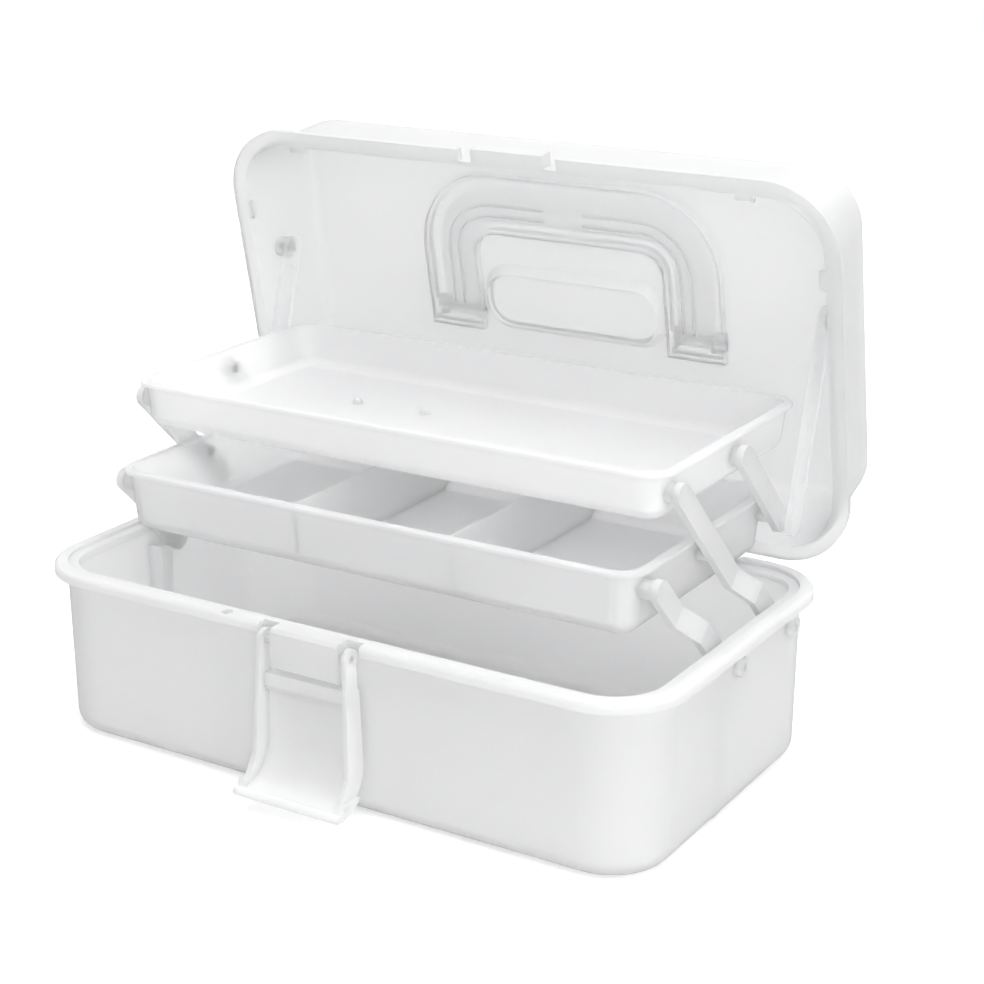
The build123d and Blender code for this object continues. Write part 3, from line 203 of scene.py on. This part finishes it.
tree.links.new(glow.outputs[0], glow_choice.inputs[2])
tree.links.new(paper.outputs[0], both.inputs[0])
tree.links.new(glow_choice.outputs[0], both.inputs[1])
tree.links.new(both.outputs[0], floor_out.inputs["Surface"])
floor_mesh.materials.append(floor_paint)
print("floor paint nodes:", len(tree.nodes))

# %% [markdown]
# ## Moulded skin and painted crease shade, shared by every plastic
# Moulded polypropylene is never quite even: the steel of the mould leaves a fine satin grain, and the melt cools
# with slow cloudy differences in tone and gloss. One node group makes all three from noise in the object's own
# coordinates, so the grain stays on the piece when the piece moves. It also paints shade into the colour of the narrow
# creases under rims and beside bosses, darker where nearby surfaces block light. Each plastic sets its own amounts.

# %% Build the moulded skin group
def new_group(name, inputs, outputs):
    """An empty shader group with float or colour sockets; inputs are (name, kind, value)."""
    group = bpy.data.node_groups.new(name, "ShaderNodeTree")
    for socket, kind, value in inputs:
        made = group.interface.new_socket(name=socket, in_out="INPUT", socket_type=kind)
        made.default_value = value
    for socket, kind in outputs:
        group.interface.new_socket(name=socket, in_out="OUTPUT", socket_type=kind)
    return group, group.nodes.new("NodeGroupInput"), group.nodes.new("NodeGroupOutput")


FLOAT = "NodeSocketFloat"
COLOUR = "NodeSocketColor"
skin_group, skin_in, skin_out = new_group(
    "moulded_skin_and_shade",
    (
        ("Colour", COLOUR, (0.85, 0.85, 0.85, 1)),
        ("Cloud", FLOAT, 0.02),
        ("Roughness", FLOAT, 0.4),
        ("Gloss patches", FLOAT, 0.08),
        ("Grain size", FLOAT, 2600.0),
        ("Painted crease shade", FLOAT, 0.25),
    ),
    (("Colour", COLOUR), ("Colour with painted shade", COLOUR), ("Roughness", FLOAT), ("Height", FLOAT)),
)


def noise(group, coordinates, scale, detail):
    """One noise texture on the given coordinates; scale is a number or a socket."""
    texture = group.nodes.new("ShaderNodeTexNoise")
    texture.inputs["Detail"].default_value = detail
    group.links.new(coordinates, texture.inputs["Vector"])
    if isinstance(scale, (int, float)):
        texture.inputs["Scale"].default_value = scale
    else:
        group.links.new(scale, texture.inputs["Scale"])
    return texture.outputs["Fac"]


def spread(group, value, centre, width):
    """Turns a noise value into centre + (noise - 0.5) * 2 * width; centre is a number or a socket, width a socket."""
    wide = calc(group, "MULTIPLY", calc(group, "SUBTRACT", value, 0.5), width)
    return calc(group, "MULTIPLY_ADD", wide, 2.0, centre)


def scaled(group, colour, factor):
    """A colour times a value, both sockets."""
    node = group.nodes.new("ShaderNodeVectorMath")
    node.operation = "SCALE"
    group.links.new(colour, node.inputs[0])
    group.links.new(factor, node.inputs["Scale"])
    return node.outputs[0]


print("moulded_skin_and_shade sockets:", len(skin_group.interface.items_tree))

# %% Fill the moulded skin group
own = skin_group.nodes.new("ShaderNodeTexCoord").outputs["Object"]
CLOUD_SCALE, CLOUD_DETAIL = 16.0, 3.0
PATCH_SCALE, PATCH_DETAIL = 55.0, 4.0
GRAIN_DETAIL = 2.0
# Reach and ray count of the ambient occlusion behind the painted crease shade
PAINTED_SHADE_REACH = 0.004
PAINTED_SHADE_RAYS = 6

cloud_noise = noise(skin_group, own, CLOUD_SCALE, CLOUD_DETAIL)
cloud = spread(skin_group, cloud_noise, 1.0, skin_in.outputs["Cloud"])
tone = scaled(skin_group, skin_in.outputs["Colour"], cloud)
# Painted crease shade: the colour is darkened where ambient occlusion finds surfaces within the reach
painted_crease_shade = skin_group.nodes.new("ShaderNodeAmbientOcclusion")
painted_crease_shade.samples = PAINTED_SHADE_RAYS
painted_crease_shade.inputs["Distance"].default_value = PAINTED_SHADE_REACH
hidden = calc(skin_group, "SUBTRACT", 1.0, painted_crease_shade.outputs["AO"])
kept = calc(skin_group, "SUBTRACT", 1.0, calc(skin_group, "MULTIPLY", hidden, skin_in.outputs["Painted crease shade"]))
patches = noise(skin_group, own, PATCH_SCALE, PATCH_DETAIL)
rough = spread(skin_group, patches, skin_in.outputs["Roughness"], skin_in.outputs["Gloss patches"])
grain = noise(skin_group, own, skin_in.outputs["Grain size"], GRAIN_DETAIL)
skin_group.links.new(tone, skin_out.inputs["Colour"])
# The second colour carries the painted crease shade
skin_group.links.new(scaled(skin_group, tone, kept), skin_out.inputs["Colour with painted shade"])
skin_group.links.new(rough, skin_out.inputs["Roughness"])
skin_group.links.new(grain, skin_out.inputs["Height"])
print("moulded_skin_and_shade nodes:", len(skin_group.nodes))

# %% [markdown]
# ## The plastics
# The tub, trays, arms, latch and handle are the same white plastic in slightly different gloss. Thin white
# polypropylene is milky: part of the light goes through a wall and comes out scattered, which is why the insides of
# such a box never look dark. A share of rough transmission does this, larger for the thin trays than for the stout
# arms. The painted crease shade counts only on faces seen from outside, because inside a wall every point is near
# another.
# The edges of the solids are sharp, and a Bevel node rounds them in the shading only, as the polished mould would.

# %% Mix the white plastics
GRAIN_DEPTH = 0.00004
SHEEN = 0.4


def plastic(name, colour, milky, ior, roughness, painted_crease_shade, cloud, patches_width, bump, edge_radius):
    """A satin white plastic; colour is linear, milky the share of light that passes, edge_radius in metres."""
    material = bpy.data.materials.new(name)
    material.use_nodes = True
    tree = material.node_tree
    shader = tree.nodes["Principled BSDF"]
    skin = tree.nodes.new("ShaderNodeGroup")
    skin.node_tree = skin_group
    skin.inputs["Colour"].default_value = (*colour, 1)
    skin.inputs["Cloud"].default_value = cloud
    skin.inputs["Roughness"].default_value = roughness
    skin.inputs["Gloss patches"].default_value = patches_width
    # Amount of painted crease shade for this plastic
    skin.inputs["Painted crease shade"].default_value = painted_crease_shade
    bevel = tree.nodes.new("ShaderNodeBevel")
    bevel.inputs["Radius"].default_value = edge_radius
    relief = tree.nodes.new("ShaderNodeBump")
    relief.inputs["Strength"].default_value = bump
    relief.inputs["Distance"].default_value = GRAIN_DEPTH
    side = tree.nodes.new("ShaderNodeNewGeometry")
    # Painted crease shade goes on faces seen from outside; back faces keep the plain colour
    outside = tree.nodes.new("ShaderNodeMix")
    outside.data_type = "RGBA"
    tree.links.new(side.outputs["Backfacing"], outside.inputs["Factor"])
    tree.links.new(skin.outputs["Colour with painted shade"], outside.inputs["A"])
    tree.links.new(skin.outputs["Colour"], outside.inputs["B"])
    tree.links.new(outside.outputs["Result"], shader.inputs["Base Color"])
    tree.links.new(skin.outputs["Roughness"], shader.inputs["Roughness"])
    tree.links.new(skin.outputs["Height"], relief.inputs["Height"])
    tree.links.new(bevel.outputs["Normal"], relief.inputs["Normal"])
    tree.links.new(relief.outputs["Normal"], shader.inputs["Normal"])
    shader.inputs["Transmission Weight"].default_value = milky
    shader.inputs["IOR"].default_value = ior
    shader.inputs["Specular IOR Level"].default_value = SHEEN
    return material


WHITE = (0.96, 0.961, 0.963)
CLEAN = (0.98, 0.981, 0.983)
SATIN = (0.9, 0.902, 0.905)
plastics = {
    # slot: name, colour, milky, ior, roughness, painted crease shade, cloud, patches, bump, edge radius
    "white_plastic": plastic("tub_white", WHITE, 0.48, 1.25, 0.72, 0.25, 0.012, 0.06, 0.25, 0.0005),
    "tray_plastic": plastic("tray_white", WHITE, 0.55, 1.25, 0.75, 0.25, 0.012, 0.06, 0.25, 0.0004),
    "arm_plastic": plastic("arm_white", SATIN, 0.4, 1.15, 0.6, 0.1, 0.01, 0.05, 0.2, 0.0006),
    "pin_plastic": plastic("pin_white", CLEAN, 0.8, 1.08, 0.6, 0.0, 0.01, 0.05, 0.15, 0.0003),
    "latch_plastic": plastic("latch_white", CLEAN, 0.5, 1.2, 0.62, 0.2, 0.01, 0.05, 0.2, 0.0006),
    "handle_plastic": plastic("handle_white", WHITE, 0.78, 1.08, 0.6, 0.05, 0.01, 0.05, 0.15, 0.0006),
}
print("white plastics:", len(plastics))

# %% [markdown]
# ## The frosted lid
# The lid is the same plastic without the white pigment: milky, so near things show through it and far things melt
# away. A rough transmission gives exactly that, mixed with the white that the milky plastic scatters itself.

# %% Mix the frosted plastic
FROST = (0.885, 0.887, 0.89)
FROST_CLEAR = 0.5
plastics["frosted_plastic"] = plastic("lid_frosted", FROST, FROST_CLEAR, 1.2, 0.45, 0.05, 0.01, 0.05, 0.15, 0.0005)
print("frosted transmission:", FROST_CLEAR)

# %% [markdown]
# ## Dressing the solids
# Each solid takes the plastic of its slot. The two straps share the arms' slot but are grooved and thin, so they get a
# clearer plastic that lets more light through.

# %% Give each solid its plastic
strap_white = plastic("strap_white", CLEAN, 0.85, 1.06, 0.6, 0.05, 0.01, 0.05, 0.2, 0.0006)
own_plastics = {"lid_strap_r": strap_white, "lid_strap_l": strap_white}
for subpart in frame["record"]["subparts"]:
    solid = nodes[subpart["node"]]
    solid.data.materials.clear()
    solid.data.materials.append(own_plastics.get(subpart["node"], plastics[subpart["material_slot"]]))

# %% [markdown]
# ## Two pips on the upper tray's floor
# Two small round pips stand on the floor of the upper tray, near its rear wall, probably marks that the mould leaves.
# Each is a low dome on a short neck, so a profile turned about a vertical axis makes it. They belong to the tray, so
# they ride on its body and share its plastic.

# %% Turn the pips
TRAY_FLOOR = 0.14171
PIP_SINK = 0.0002
PIP_PLACES = ((-0.0693, 0.0441), (-0.0313, 0.0462))
PIP_PROFILE = (
    # radius and height over the tray's floor, in metres
    (0.0026, -PIP_SINK), (0.0024, 0.0003), (0.0021, 0.0008), (0.002, 0.0014), (0.0019, 0.002),
    (0.0016, 0.0025), (0.0011, 0.0028), (0.0005, 0.00295),
)
PIP_SIDES = 32


def turned(name, profile, sides, place):
    """A closed solid of revolution about a vertical axis through place, from its outer profile, bottom to top."""
    points = [
        (place[0] + radius * math.cos(turn), place[1] + radius * math.sin(turn), place[2] + height)
        for radius, height in profile
        for turn in (2 * math.pi * step / sides for step in range(sides))
    ]
    faces = []
    for ring in range(len(profile) - 1):
        for step in range(sides):
            after = (step + 1) % sides
            low, high = ring * sides, (ring + 1) * sides
            faces.append((low + step, low + after, high + after, high + step))
    faces.append(tuple(reversed(range(sides))))
    faces.append(tuple(range((len(profile) - 1) * sides, len(profile) * sides)))
    mesh = bpy.data.meshes.new(name)
    mesh.from_pydata(points, [], faces)
    for face in mesh.polygons:
        face.use_smooth = len(face.vertices) == 4
    piece = bpy.data.objects.new(name, mesh)
    scene.collection.objects.link(piece)
    return piece


for number, (x, y) in enumerate(PIP_PLACES, start=1):
    pip = turned(f"upper_tray_pip_{number}", PIP_PROFILE, PIP_SIDES, (x, y, TRAY_FLOOR))
    pip.data.materials.append(plastics["tray_plastic"])
    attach(pip, "upper_tray")
print("pips:", len(PIP_PLACES))
